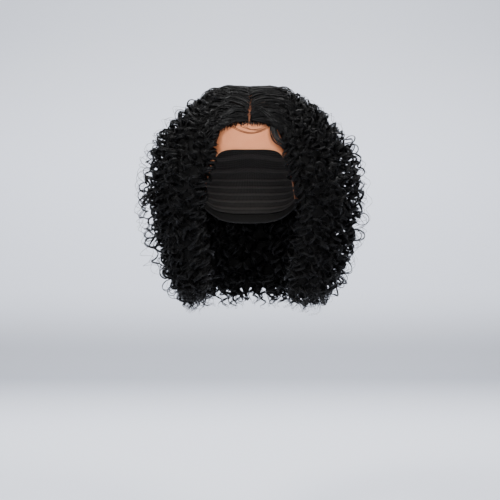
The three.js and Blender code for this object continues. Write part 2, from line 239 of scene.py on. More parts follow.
def outsideHead(points):
    wide, front, back = headReach(points[..., 2])
    reach = np.where(points[..., 1] < 0, front, back)
    inside = (points[..., 0] / wide) ** 2 + (points[..., 1] / reach) ** 2
    return np.where(points[..., 2] > 0, 9.0, inside) - 1


headCentre = np.array((0, 0.002, -0.1))


def onHead(points, lift=0.0):
    centre = headCentre + np.zeros_like(points)
    centre[..., 2] = np.minimum(centre[..., 2], points[..., 2])
    way = points - centre
    low, high = np.zeros(points.shape[:-1]), np.full(points.shape[:-1], 4.0)
    for _ in range(26):
        middle = (low + high) / 2
        out = outsideHead(centre + way * middle[..., None]) > 0
        high = np.where(out, middle, high)
        low = np.where(out, low, middle)
    found = centre + way * high[..., None]
    return found + unit(way) * lift


def stationValue(name, place):
    at = np.clip(place, 0, 1) * (len(stationRows) - 1)
    low = np.minimum(np.floor(at).astype(int), len(stationRows) - 2)
    column = stationRows[:, stationColumns.index(name)]
    if name.endswith("Down"):
        column = np.where(column < 0, -column * hairSize["lift"], -column * hairSize["drop"])
    last = len(stationRows) - 1
    a, b, c, d = (column[np.clip(low + k, 0, last)] for k in (-1, 0, 1, 2))
    t = at - low
    return b + 0.5 * t * (c - a + t * (2 * a - 5 * b + 4 * c - d + t * (3 * (b - c) + d - a)))


def outerPoint(side, around, place):
    reach = hairSize["right"] if side > 0 else hairSize["left"]
    parting = np.interp(around, partingAround, partingHalf)
    edgeX = parting + stationValue("edgeX", place) * (hairSize["face"] - parting)
    edgeX = edgeX + templeShift[side] * np.exp(-(((place - templePlace[side]) / templeReach[side]) ** 2))
    edgeY = -stationValue("edgeY", place) * hairSize["front"]
    edgeZ = stationValue("edgeDown", place)
    sideX = parting + stationValue("sideX", place) * (reach - parting)
    sideY = stationValue("sideY", place) * hairSize["back"]
    sideZ = stationValue("sideDown", place)
    backY = stationValue("backY", place) * hairSize["back"]
    backZ = stationValue("backDown", place)
    sideAt = hairSize["sideAt"]
    fore = around <= sideAt
    turn = np.where(fore, around / sideAt, (around - sideAt) / (1 - sideAt)) * math.pi / 2
    cos, sin = np.cos(turn), np.sin(turn)
    x = np.where(fore, edgeX + (sideX - edgeX) * sin, sideX * cos)
    y = np.where(fore, sideY + (edgeY - sideY) * cos, sideY + (backY - sideY) * sin)
    z = np.where(fore, sideZ + (edgeZ - sideZ) * cos**2, sideZ + (backZ - sideZ) * sin**2)
    lean = np.interp(around, partingAround, partingLean) * np.exp(-place / 0.04)
    return np.stack((side * x + lean, y, z), axis=-1)


def outerNormal(side, around, place):
    step = 0.01
    ahead = outerPoint(side, np.minimum(around + step, 1), place)
    behind = outerPoint(side, np.maximum(around - step, 0), place)
    lower = outerPoint(side, around, np.minimum(place + step, 1))
    upper = outerPoint(side, around, np.maximum(place - step, 0))
    return unit(np.cross(lower - upper, ahead - behind) * side)


# Pieces from arrays


def makePiece(name, vertices, faces, material, nodes=(), smooth=True, attributes=None):
    mesh = bpy.data.meshes.new(name)
    faces = np.asarray(faces)
    corners = faces.shape[1]
    mesh.vertices.add(len(vertices))
    mesh.vertices.foreach_set("co", np.asarray(vertices, dtype=np.float32).ravel())
    mesh.loops.add(faces.size)
    mesh.loops.foreach_set("vertex_index", faces.ravel().astype(np.int32))
    mesh.polygons.add(len(faces))
    mesh.polygons.foreach_set("loop_start", np.arange(0, faces.size, corners, dtype=np.int32))
    mesh.polygons.foreach_set("use_smooth", np.full(len(faces), smooth))
    for key, values in (attributes or {}).items():
        made = mesh.attributes.new(key, "FLOAT_VECTOR", "POINT")
        made.data.foreach_set("vector", np.asarray(values, dtype=np.float32).ravel())
    mesh.update(calc_edges=True)
    mesh.validate()
    mesh.materials.append(material)
    piece = bpy.data.objects.new(name, mesh)
    bpy.context.scene.collection.objects.link(piece)
    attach(piece, "root")
    if nodes:
        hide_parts(*nodes)
    return piece


# Many strands gathered into one piece, with place across, place along and tone kept for the material
class Bundle:
    def __init__(self):
        self.vertices = []
        self.faces = []
        self.marks = []
        self.count = 0

    def add(self, vertices, faces, marks):
        self.vertices.append(vertices)
        self.faces.append(faces + self.count)
        self.marks.append(marks)
        self.count += len(vertices)

    def triangles(self):
        return sum(len(f) for f in self.faces)

    def piece(self, name, material, nodes=(), slotName="hair"):
        return makePiece(
            name,
            np.concatenate(self.vertices),
            np.concatenate(self.faces),
            material,
            nodes,
            attributes={"strand": np.concatenate(self.marks)},
        )


def strandTubes(bundle, paths, outs, widths, thicknesses, tones):
    strands, points = paths.shape[:2]
    ahead = unit(np.gradient(paths, axis=1))
    across = unit(np.cross(ahead, outs))
    up = np.cross(across, ahead)
    w = widths[..., None] / 2
    t = thicknesses[..., None]
    low = up * t / 3
    ring = np.stack((paths - across * w - low, paths + across * w - low, paths + up * t * 2 / 3), axis=2)
    steps = np.linalg.norm(np.diff(paths, axis=1), axis=-1)
    along = np.concatenate((np.zeros((strands, 1)), np.cumsum(steps, axis=1)), axis=1)
    marks = np.zeros((strands, points, 3, 3))
    marks[..., 0] = np.array((0.0, 1.0, 0.5))
    marks[..., 1] = along[..., None]
    marks[..., 2] = np.asarray(tones)[:, None, None]
    base = (np.arange(strands) * points * 3)[:, None] + np.arange(points - 1)[None] * 3
    base = base.ravel()
    faces = []
    for i in range(3):
        a, b = base + i, base + (i + 1) % 3
        faces.append(np.stack((a, a + 3, b + 3), axis=1))
        faces.append(np.stack((a, b + 3, b), axis=1))
    first = np.arange(strands) * points * 3
    last = first + (points - 1) * 3
    faces.append(np.stack((first, first + 1, first + 2), axis=1))
    faces.append(np.stack((last, last + 2, last + 1), axis=1))
    bundle.add(ring.reshape(-1, 3), np.concatenate(faces), marks.reshape(-1, 3))


# Hair material

hairLook = {"dark": (0.0009, 0.0008, 0.0008, 1), "light": (0.0045, 0.0042, 0.004, 1), "roughness": 0.17}


def hairMaterial(name, look):
    material, wire = newMaterial(name)
    across, along, tone = wire.attribute("strand").split()
    lines = wire.noise(wire.joined(across * 7 + tone * 60, along * 14, tone * 9), 1.0, 3.0, 0.6)
    streaks = wire.noise(wire.joined(across * 1.5 + tone * 31, along * 30, tone * 5), 1.0, 1.0)
    shade = (lines * 0.6 + streaks * 0.4 + tone * 0.25 - 0.2).clamped()
    colour = shade.mixed(look["dark"], look["light"])
    finishMaterial(
        wire,
        Base_Color=colour,
        Roughness=look["roughness"] + lines * 0.16 + tone * 0.26,
        Specular_IOR_Level=0.2,
        Normal=wire.bump(lines, 0.5, 0.0006),
    )
    return material


hairFinish = hairMaterial("hair", hairLook)


# Curls


def smooth(t):
    t = np.clip(t, 0, 1)
    return t * t * (3 - 2 * t)


def sway(s, length, rng):
    a, b = rng.uniform(0, 2 * math.pi, 2)
    return 0.6 * np.sin(2 * math.pi * s / length + a) + 0.4 * np.sin(2 * math.pi * s / (length * 0.57) + b)


def pathLength(points):
    return np.concatenate(([0], np.cumsum(np.linalg.norm(np.diff(points, axis=0), axis=1))))


guideValues = {"samples": 160, "lift": 0.004, "least": 0.002, "most": 0.9995}


def guide(side, around, drift, start, end, sweep=0.0):
    v = guideValues
    place = np.linspace(start, end, v["samples"])
    share = np.linspace(0, 1, v["samples"])
    way = around + drift * np.sin(share * math.pi * 1.5) - sweep * np.exp(-place / 0.06)
    way = np.clip(way, v["least"], v["most"])
    outer = outerPoint(side, way, np.minimum(place, 1))
    normal = outerNormal(side, way, np.minimum(place, 1))
    outer[:, 2] -= np.maximum(place - 1, 0) * hairSize["drop"]
    inner = onHead(outer, v["lift"])
    room = np.linalg.norm(outer - inner, axis=1)
    return outer, normal, inner, room


def alongGuide(made, s):
    outer, normal, inner, room = made
    length = pathLength(outer)

    def picked(values):
        return np.stack([np.interp(s, length, values[:, i]) for i in range(3)], axis=1)

    return picked(outer), unit(picked(normal)), picked(inner), np.interp(s, length, room)


curlValues = {
    "seed": 26,
    "sleek": 0.03,  # combed flat from the parting before the curl starts
    "ramp": 0.022,
    "radius": 0.0061,
    "pitch": 0.0172,
    "fan": 1.0,
    "width": 0.0011,
    "fineWidth": 0.0006,
    "turnSegments": 11,
    "inset": {1: 0.001, -1: 0.008},  # dense hair behind the loose loops, by side
    "clearance": 0.0022,  # kept between a curl and the head
    "swayWide": 0.0075,
    "swayFine": 0.0012,
    "bobWide": 0.0045,
    "bobFine": 0.001,
    "around": (0.034, 0.995),
}


def ringlet(s, centre, normal, swell, turns, curl, strands, fine, fan, width, rng):
    ahead = unit(np.gradient(centre, axis=0))
    normal = unit(normal - ahead * np.sum(normal * ahead, axis=1, keepdims=True))
    across = np.cross(ahead, normal)
    paths, outs, widths, heights = [], [], [], []
    total = strands + fine
    last = s[-1]
    for k in range(total):
        thin = k >= strands
        off = rng.uniform(-0.6, 0.6) if thin else (k - (strands - 1) / 2) / max(strands - 1, 1)
        reach = last - rng.uniform(0, 0.012) - (rng.uniform(0, 0.05) if thin else 0)
        apart = fan * (0.85 + 0.35 * sway(s, 0.07, rng))
        angle = turns + off * apart * curl + (0.7 if thin else 0.1) * curl * sway(s, 0.05, rng)
        own = swell * (1 + (0.28 if thin else 0.07) * sway(s, 0.045, rng)) + (0.0004 * rng.normal() * curl)
        radial = normal * np.cos(angle)[:, None] + across * np.sin(angle)[:, None]
        path = centre + radial * (own * curl)[:, None] + across * (off * 0.006 * (1 - curl))[:, None]
        tip = smooth((reach - s) / (0.03 if thin else 0.014))
        root = smooth((s - s[0]) / 0.006)
        full = (curlValues["fineWidth"] if thin else width) * rng.uniform(0.7, 1.3)
        paths.append(path)
        outs.append(unit(normal * (1 - curl)[:, None] + radial * curl[:, None] + normal * 1e-3))
        widths.append(full * (0.08 + 0.92 * tip) * (0.3 + 0.7 * root))
        heights.append(widths[-1] * (0.8 if thin else 0.6))
    return np.stack(paths), np.stack(outs), np.stack(widths), np.stack(heights), rng.uniform(0, 1, total)


def steppedAlong(low, high, density):
    fine = np.linspace(low, high, 400)
    dense = density(fine)
    passed = np.concatenate(([0], np.cumsum(np.diff(fine) * (dense[1:] + dense[:-1]) / 2)))
    return np.interp(np.linspace(0, passed[-1], max(12, int(passed[-1]))), passed, fine)


def curlLock(side, around, layer, rng):
    v = curlValues
    depth, detail = layer["depth"], layer["detail"]
    made = guide(side, around, rng.uniform(-0.03, 0.03), layer["start"], rng.uniform(0.93, 1.01))
    last = pathLength(made[0])[-1]
    size = rng.uniform(0.68, 1.4)
    radius = v["radius"] * size
    pitch = v["pitch"] * (0.35 + 0.65 * size) * rng.uniform(0.85, 1.2) / (0.55 + 0.45 * detail)
    sleek = (v["sleek"] * rng.uniform(0.8, 1.25) if layer["start"] == 0 else 0) * (1 - 0.3 * depth)

    def density(at):
        return (0.35 + 0.65 * smooth((at - sleek) / v["ramp"])) * v["turnSegments"] * detail / pitch

    s = steppedAlong(sleek * 0.75, last, density)
    outer, normal, inner, room = alongGuide(made, s)
    least = np.maximum(room, 1e-4)
    curl = smooth((s - sleek) / v["ramp"])
    swell = radius * (0.15 + 0.85 * curl) * (1 + 0.2 * sway(s, 0.06, rng))
    swell = np.minimum(swell * (1 - 0.3 * smooth((s - last + 0.03) / 0.03)), room * 0.42)
    inset = v["inset"][side] * smooth((np.abs(outer[:, 0]) - 0.07) / 0.05)
    inset = inset * smooth((-outer[:, 2] - 0.07) / 0.04)
    share = np.clip((swell + 0.0012 + inset) / least, 0, 0.5)
    share = share + (1 - share) * np.clip(depth + rng.uniform(-0.05, 0.05), 0, 1) * 0.92
    share = np.minimum(share, 1 - (swell + v["clearance"]) / least)
    centre = outer + (inner - outer) * share[:, None]
    across = unit(np.cross(unit(np.gradient(centre, axis=0)), normal))
    loose = np.minimum(1, room * 22) * (0.15 + 0.85 * curl)
    aside = v["swayWide"] * sway(s, 0.11, rng) + v["swayFine"] * sway(s, 0.05, rng)
    centre = centre + across * (loose * min(max(around / 0.13, 0.3), 1) * aside)[:, None]
    bob = v["bobWide"] * sway(s, 0.1, rng) + v["bobFine"] * sway(s, 0.05, rng) - 0.0012
    centre = centre + normal * (loose * bob * (1 - 0.85 * depth))[:, None]
    turned = pathLength(s[:, None]) / pitch * (1 - 0.45 * (1 - smooth((s - sleek) / 0.07)))
    turns = rng.choice((-1, 1)) * 2 * math.pi * turned + 0.6 * sway(s, 0.075, rng) + rng.uniform(0, 6.3)
    width = v["width"] * (1 + 0.25 * depth)
    strands, fine = layer["strands"], layer["fine"]
    return ringlet(s, centre, normal, swell, turns, curl, strands, fine, v["fan"], width, rng)


strayValues = {
    "perSide": 34,
    "rise": {1: 0.0085, -1: 0.005},
    "sunk": 0.0065,
    "radius": 0.0052,
    "pitch": 0.0175,
    "width": 0.0012,
    "turnSegments": 14,
}


def strayLock(side, around, rng):
    v = strayValues
    start = rng.uniform(0.22, 0.86)
    made = guide(side, around, rng.uniform(-0.06, 0.06), start, min(start + rng.uniform(0.07, 0.2), 1.03))
    last = pathLength(made[0])[-1]
    size = rng.uniform(0.6, 1.35)
    pitch = v["pitch"] * (0.4 + 0.6 * size) * rng.uniform(0.8, 1.5)
    s = steppedAlong(0, last, lambda at: np.full_like(at, v["turnSegments"] / pitch))
    outer, normal, _, _ = alongGuide(made, s)
    bulge = np.sin(s / last * math.pi) ** 0.6
    low = smooth((start - 0.25) / 0.35)
    away = bulge * v["rise"][side] * rng.uniform(0.3, 1) * (0.25 + 0.75 * low) - v["sunk"]
    centre = outer + normal * away[:, None]
    across = unit(np.cross(unit(np.gradient(centre, axis=0)), normal))
    centre = centre + across * (0.006 * bulge * sway(s, 0.07, rng))[:, None]
    swell = v["radius"] * size * (0.3 + 0.7 * bulge) * (1 + 0.2 * sway(s, 0.05, rng))
    turns = rng.choice((-1, 1)) * 2 * math.pi * s / pitch + 0.7 * sway(s, 0.05, rng) + rng.uniform(0, 6.3)
    strands = int(rng.integers(2, 4))
    return ringlet(s, centre, normal, swell, turns, np.ones_like(s), strands, 1, 0.55, v["width"], rng)


loopValues = {
    "perSide": 84,
    "radius": 0.0062,
    "width": 0.0012,
    "points": 24,
    "out": {1: 0.001, -1: -0.002},
    "sunk": 0.0065,
}


def loopLock(side, around, rng):
    v = loopValues
    place = np.array([rng.uniform(0.2, 0.96)])
    spot = outerPoint(side, around, place)[0]
    normal = outerNormal(side, around, place)[0]
    ahead = unit(outerPoint(side, around, place + 0.02)[0] - spot)
    across = np.cross(ahead, normal)
    turn = rng.uniform(-1.1, 1.1)
    cos, sin = math.cos(turn), math.sin(turn)
    ahead, across = ahead * cos + across * sin, across * cos - ahead * sin
    low = smooth((place[0] - 0.15) / 0.3)
    radius = v["radius"] * rng.uniform(0.7, 1.25) * (0.7 + 0.3 * low)
    centre = spot + normal * (rng.uniform(-v["sunk"], v["out"][side]) * (0.4 + 0.6 * low) - 0.003)
    t = np.linspace(-0.3, 1.3, v["points"]) * math.pi
    stretch = rng.uniform(0.85, 1.35)
    strands = int(rng.integers(1, 4))
    paths, outs = [], []
    for k in range(strands):
        own = radius * (1 + 0.1 * rng.normal())
        slide = 0.0012 * (k - (strands - 1) / 2) + 0.0016 * t * rng.uniform(0.6, 1)
        path = centre - ahead * (own * np.cos(t))[:, None] + normal * (own * stretch * np.sin(t))[:, None]
        paths.append(path + across * slide[:, None])
        outs.append(normal * np.sin(t)[:, None] - ahead * np.cos(t)[:, None])
    widths = v["width"] * rng.uniform(0.6, 1.3, (strands, 1)) + np.zeros((1, v["points"]))
    return np.stack(paths), np.stack(outs), widths, widths * 0.7, rng.uniform(0, 1, strands)


combedValues = {
    "perSide": 310,
    "points": 15,
    "width": 0.0012,
    "length": 0.066,
    "wave": 0.0034,
    "waveLength": 0.032,
    "sweep": 0.07,
    "sunk": 0.0042,
}


def combedHair(side, around, rng):
    v = combedValues
    sweep = v["sweep"] * (1 - smooth((around - 0.2) / 0.3))
    made = guide(side, around, rng.uniform(-0.01, 0.01), 0.0, 0.5, sweep)
    reach = v["length"] * rng.uniform(0.75, 1.2)
    s = np.linspace(rng.uniform(0, 0.0016), reach, v["points"])
    outer, normal, inner, _ = alongGuide(made, s)
    across = unit(np.cross(unit(np.gradient(outer, axis=0)), normal))
    waved = smooth((s - 0.014) / 0.035)
    phase = around * 40 + rng.uniform(-0.7, 0.7)
    edge = smooth(around / 0.14)
    wave = v["wave"] * waved * (0.3 + 0.7 * edge) * np.sin(2 * math.pi * s / v["waveLength"] + phase)
    path = outer + across * (wave * 0.8 + rng.uniform(-0.0015, 0.0015))[:, None]
    sunk = rng.uniform(-v["sunk"], 0.0004) - 0.004 * smooth((s - reach * 0.7) / (reach * 0.3))
    path = path + normal * (wave * 0.6 + sunk)[:, None]
    rise = 1 - (1 - smooth((around - 0.05) / 0.15)) * (1 - smooth(s / 0.012)) * 0.8
    rise = rise * (edge + (1 - edge) * (0.3 + 0.7 * smooth((s - 0.018) / 0.03)))
    path = inner + (path - inner) * rise[:, None]
    width = v["width"] * rng.uniform(0.6, 1.3) * (0.5 + 0.5 * smooth(s / 0.004))
    return path, normal, width * (0.1 + 0.9 * smooth((reach - s) / 0.016))


coreValues = {
    "rows": 34,
    "columns": 14,
    "start": 0.16,
    "foot": 0.9,
    "jag": 0.03,
    "shares": (0.42, 0.62),
    "tone": 3,
}


# Dense hair in the middle of the mass: two sheets joined at the rim, with a jagged foot
def coreSheet(bundle, side, low, high):
    v = coreValues
    rows, columns = v["rows"], v["columns"]
    foot = v["foot"] + v["jag"] * np.sin(np.arange(columns) * 2.3 + low * 9 + side)
    place = v["start"] + np.linspace(0, 1, rows)[:, None] * (foot - v["start"])
    around = np.linspace(low or 0.05, high - 0.0002, columns)[None] + np.zeros((rows, 1))
    outer = outerPoint(side, around, place)
    inner = onHead(outer, guideValues["lift"])
    if high == 1.0:
        outer[:, -1, 0] = inner[:, -1, 0] = -side * 0.001
    sheets = [outer + (inner - outer) * share for share in v["shares"]]
    vertices = np.concatenate([sheet.reshape(-1, 3) for sheet in sheets])
    quads = gridFaces(rows, columns)
    if side < 0:
        quads = quads[:, ::-1]
    far = quads[:, ::-1] + rows * columns
    edges = {}
    for quad in quads:
        for i in range(4):
            edges[(quad[i], quad[(i + 1) % 4])] = True
    rim = [(a, b) for a, b in edges if (b, a) not in edges]
    wall = np.array([(b, a, a + rows * columns, b + rows * columns) for a, b in rim])
    quads = np.concatenate((quads, far, wall))
    triangles = np.concatenate((quads[:, (0, 1, 2)], quads[:, (0, 2, 3)]))
    marks = np.zeros((len(vertices), 3))
    marks[:, 0] = np.tile(around.ravel() * 300, 2)
    marks[:, 1] = np.tile(place.ravel() * 0.3, 2)
    marks[:, 2] = v["tone"]
    bundle.add(vertices, triangles, marks)


def gridFaces(rows, columns):
    index = np.arange(rows * columns).reshape(rows, columns)
    a, b = index[:-1, :-1], index[:-1, 1:]
    c, d = index[1:, 1:], index[1:, :-1]
    return np.stack((a, d, c, b), axis=-1).reshape(-1, 4)


def named(columns, rows):
    return [dict(zip(columns, row)) for row in rows]


# Layers of locks from the outside in, as shares of the hair's thickness
layers = named(
    ("depth", "locks", "strands", "fine", "start", "detail"),
    (
        (0.07, 29, 5, 1, 0.0, 1.0),
        (0.27, 18, 4, 0, 0.0, 0.8),
        (0.52, 11, 4, 0, 0.1, 0.6),
        (0.97, 18, 4, 0, 0.3, 0.5),
    ),
)
# Sections of one side from the face to the back, with how full their outer and inner layers are
sections = named(
    ("name", "start", "end", "fullness", "inner"),
    (
        ("front", 0.0, 0.36, 1.1, 0.8),
        ("side", 0.36, 0.68, 0.95, 1.0),
        ("back", 0.68, 1.0, 0.95, 1.9),
    ),
)


def hairSection(side, section, rng):
    bundle = Bundle()
    low, high = section["start"], section["end"]
    least, most = curlValues["around"]
    coreSheet(bundle, side, low, high)
    for layer in layers:
        full = section["inner"] if layer["depth"] > 0.9 else section["fullness"]
        locks = max(1, round(layer["locks"] * full * (high - low)))
        for k in range(locks):
            around = low + (high - low) * (k + 0.5 + rng.uniform(-0.4, 0.4)) / locks
            strandTubes(bundle, *curlLock(side, min(max(around, least), most), layer, rng))
    for _ in range(round(strayValues["perSide"] * (high - low))):
        strandTubes(bundle, *strayLock(side, rng.uniform(max(low, 0.02), min(high, 0.98)), rng))
    for _ in range(round(loopValues["perSide"] * (high - low))):
        strandTubes(bundle, *loopLock(side, rng.uniform(max(low, 0.03), min(high, 0.99)), rng))
    count = round(combedValues["perSide"] * (high - low))
    combed = []
    for k in range(count):
        around = low + (high - low) * (k + rng.uniform(0, 1)) / count
        combed.append(combedHair(side, around, rng))
    paths, outs, widths = (np.stack(column) for column in zip(*combed))
    strandTubes(bundle, paths, outs, widths, widths * 0.7, rng.uniform(0, 1.6, count))
    return bundle


hairCounts = {}
for side, hand in ((1, "right"), (-1, "left")):
    for index, section in enumerate(sections):
        name = f"{section['name']}_{hand}"
        bundle = hairSection(side, section, np.random.default_rng(curlValues["seed"] + index * 7 + side))
        bundle.piece(f"curls_{name}", hairFinish, [f"hair_{name}"])
        hairCounts[name] = bundle.triangles()
print("curls", hairCounts, sum(hairCounts.values()))


# Loose single hairs: flyaways, the hairline and baby hairs

looseValues = {"seed": 5, "flyaways": 120, "width": 0.00045, "points": 38}


def hairTubes(bundle, paths, outs, width, rng, taper=0.35):
    strands, points = paths.shape[:2]
    share = np.linspace(0, 1, points)[None]
    widths = width * (0.08 + 0.92 * smooth((1 - share) / taper)) * (0.4 + 0.6 * smooth(share / 0.1))
    widths = widths * rng.uniform(0.7, 1.2, (strands, 1))
    strandTubes(bundle, paths, outs, widths, widths * 0.85, rng.uniform(0, 1, strands))


def flyaway(side, rng):
    around = rng.uniform(0.01, 0.99)
    start = rng.uniform(0.02, 0.8)
    end = min(start + rng.uniform(0.08, 0.3), 1.02)
    outer, normal, _, room = guide(side, around, rng.uniform(-0.05, 0.05), start, end)
    samples = guideValues["samples"]
    pick = np.linspace(0, samples - 1, looseValues["points"]).astype(int)
    outer, normal, share, room = outer[pick], normal[pick], np.linspace(0, 1, samples)[pick], room[pick]
    ahead = unit(np.gradient(outer, axis=0))
    across = np.cross(ahead, normal)
    full = smooth((room - 0.012) / 0.03)
    radius = (0.0015 + 0.0065 * full) * rng.uniform(0.5, 1.2)
    length = np.linalg.norm(np.diff(outer, axis=0), axis=1).sum()
    turns = rng.choice((-1, 1)) * 2 * math.pi * share * length / rng.uniform(0.016, 0.03) + rng.uniform(0, 6)
    away = np.sin(share * math.pi) ** 0.7 * rng.uniform(0.0015, 0.009) * (0.35 + 0.65 * full)
    path = outer + normal * (away + radius * (np.cos(turns) - 0.6))[:, None]
    path = path + across * (radius * np.sin(turns) + 0.008 * sway(share, 1.3, rng) * full)[:, None]
    return path, normal


hairlineValues = {
    "strands": 240,
    "strandSpan": (-0.037, 0.031),
    "strandReach": (0.018, 0.034),
    "strandPoints": 12,
    "strandWidth": 0.0011,
    "spikes": 20,
    "spikeSpan": (-0.0305, 0.0285),
    "spikeReach": (0.0082, 0.0106),
    "spikePoints": 7,
    "spikeWidth": 0.00125,
    "fuzz": 110,
    "fuzzSpan": (-0.03, 0.027),
    "fuzzReach": (0.005, 0.0105),
    "fuzzPoints": 7,
    "fuzzWidth": 0.0004,
    "archPoints": 24,
    "archWidth": 0.00045,
    "lockStrands": 15,
    "lockPoints": 60,
    "lockWidth": 0.0012,
    "thinLockWidth": 0.0008,
}
# The hairline on the forehead, as x and z
hairlineRows = np.array(
    [
        (-0.038, -0.058),
        (-0.0345, -0.0488),
        (-0.031, -0.046),
        (-0.022, -0.0436),
        (-0.01, -0.0424),
        (0.0, -0.042),
        (0.012, -0.0426),
        (0.021, -0.0436),
        (0.0295, -0.0466),
        (0.034, -0.052),
    ]
)
# Locks that fall beside the forehead: half width, then x, z and lift from the combed hair to the cheek
templeLocks = (
    (
        0.0045,
        (
            (0.006, -0.026, 0.006),
            (0.018, -0.034, 0.006),
            (0.028, -0.043, 0.005),
            (0.0283, -0.056, 0.005),
            (0.0325, -0.0665, 0.006),
            (0.0415, -0.0735, 0.008),
            (0.0505, -0.0765, 0.011),
        ),
    ),
    (
        0.0042,
        (
            (0.036, -0.036, 0.009),
            (0.046, -0.05, 0.01),
            (0.0525, -0.064, 0.011),
            (0.0525, -0.077, 0.01),
            (0.0455, -0.087, 0.009),
            (0.0437, -0.0955, 0.009),
            (0.049, -0.105, 0.01),
            (0.0565, -0.116, 0.011),
            (0.061, -0.13, 0.012),
            (0.065, -0.146, 0.012),
        ),
    ),
    (
        0.0046,
        (
            (-0.006, -0.026, 0.006),
            (-0.022, -0.034, 0.007),
            (-0.036, -0.043, 0.006),
            (-0.0405, -0.053, 0.006),
            (-0.0435, -0.062, 0.007),
            (-0.0485, -0.07, 0.008),
            (-0.0455, -0.0795, 0.009),
            (-0.0485, -0.089, 0.01),
            (-0.057, -0.098, 0.012),
        ),
    ),
    (
        0.004,
        (
            (-0.034, -0.034, 0.009),
            (-0.046, -0.047, 0.01),
            (-0.052, -0.06, 0.011),
            (-0.056, -0.073, 0.012),
            (-0.054, -0.085, 0.011),
            (-0.058, -0.097, 0.011),
            (-0.0555, -0.109, 0.011),
            (-0.058, -0.121, 0.012),
            (-0.065, -0.134, 0.013),
        ),
    ),
    (
        0.0014,
        (
            (-0.064, -0.112, 0.013),
            (-0.058, -0.121, 0.012),
            (-0.0515, -0.127, 0.012),
            (-0.0505, -0.135, 0.012),
            (-0.056, -0.141, 0.013),
            (-0.063, -0.138, 0.014),
        ),
    ),
)
# Single hairs that arch over the forehead: both ends, as x and z, and the dip between them
arches = (
    ((-0.0245, -0.0475), (0.029, -0.0462), 0.0105),
    ((-0.022, -0.047), (0.027, -0.0458), 0.0098),
    ((-0.012, -0.0475), (0.022, -0.047), 0.0052),
    ((-0.008, -0.047), (0.025, -0.0465), 0.0066),
)


def headFrontLift(path, lift):
    wide, front, _ = headReach(path[:, 2])
    x = path[:, 0]
    y = -front * np.sqrt(np.maximum(1 - (x / wide) ** 2, 0.02))
    place = np.stack((x, y, path[:, 2]), axis=-1)
    out = unit(place - headCentre)
    return place + out * np.asarray(lift)[:, None], out


def hairlineHeight(x):
    return np.interp(x, hairlineRows[:, 0], hairlineRows[:, 1])


def hairlineHair(rng):
    v = hairlineValues
    low, high = v["strandSpan"]
    x = rng.uniform(0.0005, 0.034) * rng.choice((-1, 1))
    x = max(x, low) if x < 0 else min(x, high)
    z = hairlineHeight(x) + rng.uniform(-0.0004, 0.006)
    side = 1 if x > 0 else -1
    t = np.linspace(0, 1, v["strandPoints"])
    reach = rng.uniform(*v["strandReach"])
    rising = rng.uniform(0.5, 0.95) * (1 - 0.75 * smooth((abs(x) - 0.006) / 0.026))
    path = np.zeros((len(t), 3))
    path[:, 0] = x + side * reach * (0.55 * t + 0.45 * t**2)
    path[:, 2] = z + reach * (rising * t - (0.35 + rising * 0.5) * t**2)
    return headFrontLift(path, 0.0012 + 0.0035 * np.sin(t * math.pi * 0.55))


def spike(place, rng):
    v = hairlineValues
    t = np.linspace(0, 1, v["spikePoints"])
    lean = rng.uniform(-0.002, 0.002)
    reach = rng.uniform(*v["spikeReach"])
    made = []
    for off in (-0.5, 0.5):
        path = np.zeros((len(t), 3))
        path[:, 0] = place + off * 0.0007 * (1 - t) + lean * t**1.5
        path[:, 2] = hairlineHeight(place) + 0.0016 - reach * (1 - 0.2 * abs(off)) * t
        made.append(headFrontLift(path, 0.001 + 0.0006 * t))
    return made


def babyHair(rng):
    v = hairlineValues
    x = rng.uniform(*v["fuzzSpan"])
    z = hairlineHeight(x) + 0.0012
    t = np.linspace(0, 1, v["fuzzPoints"])
    reach = rng.uniform(*v["fuzzReach"])
    path = np.zeros((len(t), 3))
    path[:, 0] = x + reach * (rng.uniform(-0.25, 0.25) * t + rng.uniform(-1.3, 1.3) * t**2)
    path[:, 2] = z - reach * t * (1 - 0.3 * t)
    return headFrontLift(path, 0.001 + 0.0006 * t)


def archedHair(left, right, dip):
    t = np.linspace(0, 1, hairlineValues["archPoints"])
    path = np.zeros((len(t), 3))
    path[:, 0] = left[0] + (right[0] - left[0]) * t
    path[:, 2] = left[1] + (right[1] - left[1]) * t - dip * np.sin(t * math.pi)
    return headFrontLift(path, 0.0011 + 0.0006 * np.sin(t * math.pi))


def templeLock(half, points, k, rng):
    v = hairlineValues
    points = np.array(points)
    steps = np.arange(len(points), dtype=float)
    t = np.linspace(0, 1, v["lockPoints"])
    flat, height, lift = (hermite(t * steps[-1], steps, points[:, i]) for i in range(3))
    off = (k / (v["lockStrands"] - 1) - 0.5) * 2
    spread = half * (0.85 + 0.15 * sway(t, 0.45, rng)) * (1 - 0.5 * smooth((t - 0.8) / 0.2))
    slope = unit(np.stack((np.gradient(flat), np.gradient(height)), axis=1))
    path = np.zeros((len(t), 3))
    path[:, 0] = flat - slope[:, 1] * spread * off
    path[:, 2] = height + slope[:, 0] * spread * off
    crown = half * 0.5 * math.cos(off * 1.5)
    return headFrontLift(path, (0.35 + 0.65 * smooth(t / 0.1)) * lift + crown + rng.uniform(-0.0012, 0.0008))


def together(pairs):
    return np.stack([a for a, _ in pairs]), np.stack([b for _, b in pairs])


def makeFlyaways(rng):
    loose = Bundle()
    hairs = [flyaway((1, -1)[k % 2], rng) for k in range(looseValues["flyaways"])]
    hairTubes(loose, *together(hairs), looseValues["width"], rng)
    print("flyaways", loose.triangles())
    loose.piece("flyaways", hairFinish)


